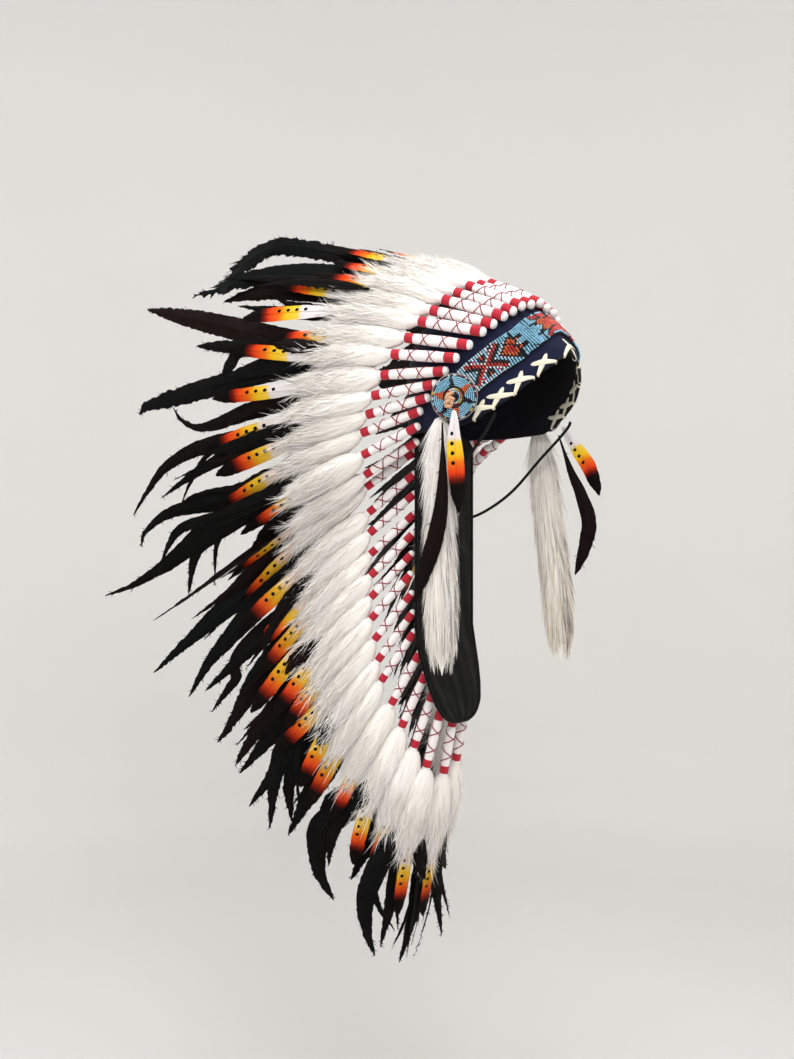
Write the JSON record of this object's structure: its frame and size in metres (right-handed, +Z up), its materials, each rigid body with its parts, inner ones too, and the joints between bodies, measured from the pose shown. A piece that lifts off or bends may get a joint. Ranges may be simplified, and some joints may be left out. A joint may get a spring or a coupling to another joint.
{
  "type": "feathered headdress",
  "caption": "Feathered headdress with a beaded brow band, rosettes, temple drops, and a leather trail edged with felt-wrapped feathers.",
  "frame": {"origin": "middle of the head opening, level with the rosettes", "axes": "wearer faces -Y, the wearer's right is -X, +Z is up out of the crown"},
  "size_m": [0.4706, 0.523, 0.9084],
  "materials": {
    "navy_cloth": "matt felted cloth",
    "beads": "glossy seed beads, mostly sky blue",
    "black_leather": "satin leather",
    "black_cord": "matt braided cord",
    "white_down": "white felt and down, with red bands, painted feathers and black plumes",
    "white_fur": "long straight fur with black streaks",
    "black_feather": "feather with a slight sheen",
    "painted_feather": "feather dyed white, yellow and orange with black dots and tip"
  },
  "bodies": {
    "root": {"cap": "navy_cloth", "brow_band": "beads", "trail": "black_leather", "chin_cord": "black_cord", "feather_front_centre": "white_down", "feather_tail_centre": "white_down", "rosette_right": "beads", "fur_drop_right": "white_fur", "black_drop_feather_right": "black_feather", "painted_drop_feather_right": "painted_feather", "feather_pair_01_right": "white_down", "feather_pair_02_right": "white_down", "feather_pair_03_right": "white_down", "feather_pair_04_right": "white_down", "feather_pair_05_right": "white_down", "feather_pair_06_right": "white_down", "feather_pair_07_right": "white_down", "feather_pair_08_right": "white_down", "feather_pair_09_right": "white_down", "feather_pair_10_right": "white_down", "feather_pair_11_right": "white_down", "feather_pair_12_right": "white_down", "feather_pair_13_right": "white_down", "feather_pair_14_right": "white_down", "rosette_left": "beads", "fur_drop_left": "white_fur", "black_drop_feather_left": "black_feather", "painted_drop_feather_left": "painted_feather", "feather_pair_01_left": "white_down", "feather_pair_02_left": "white_down", "feather_pair_03_left": "white_down", "feather_pair_04_left": "white_down", "feather_pair_05_left": "white_down", "feather_pair_06_left": "white_down", "feather_pair_07_left": "white_down", "feather_pair_08_left": "white_down", "feather_pair_09_left": "white_down", "feather_pair_10_left": "white_down", "feather_pair_11_left": "white_down", "feather_pair_12_left": "white_down", "feather_pair_13_left": "white_down", "feather_pair_14_left": "white_down"}
  },
  "joints": []
}
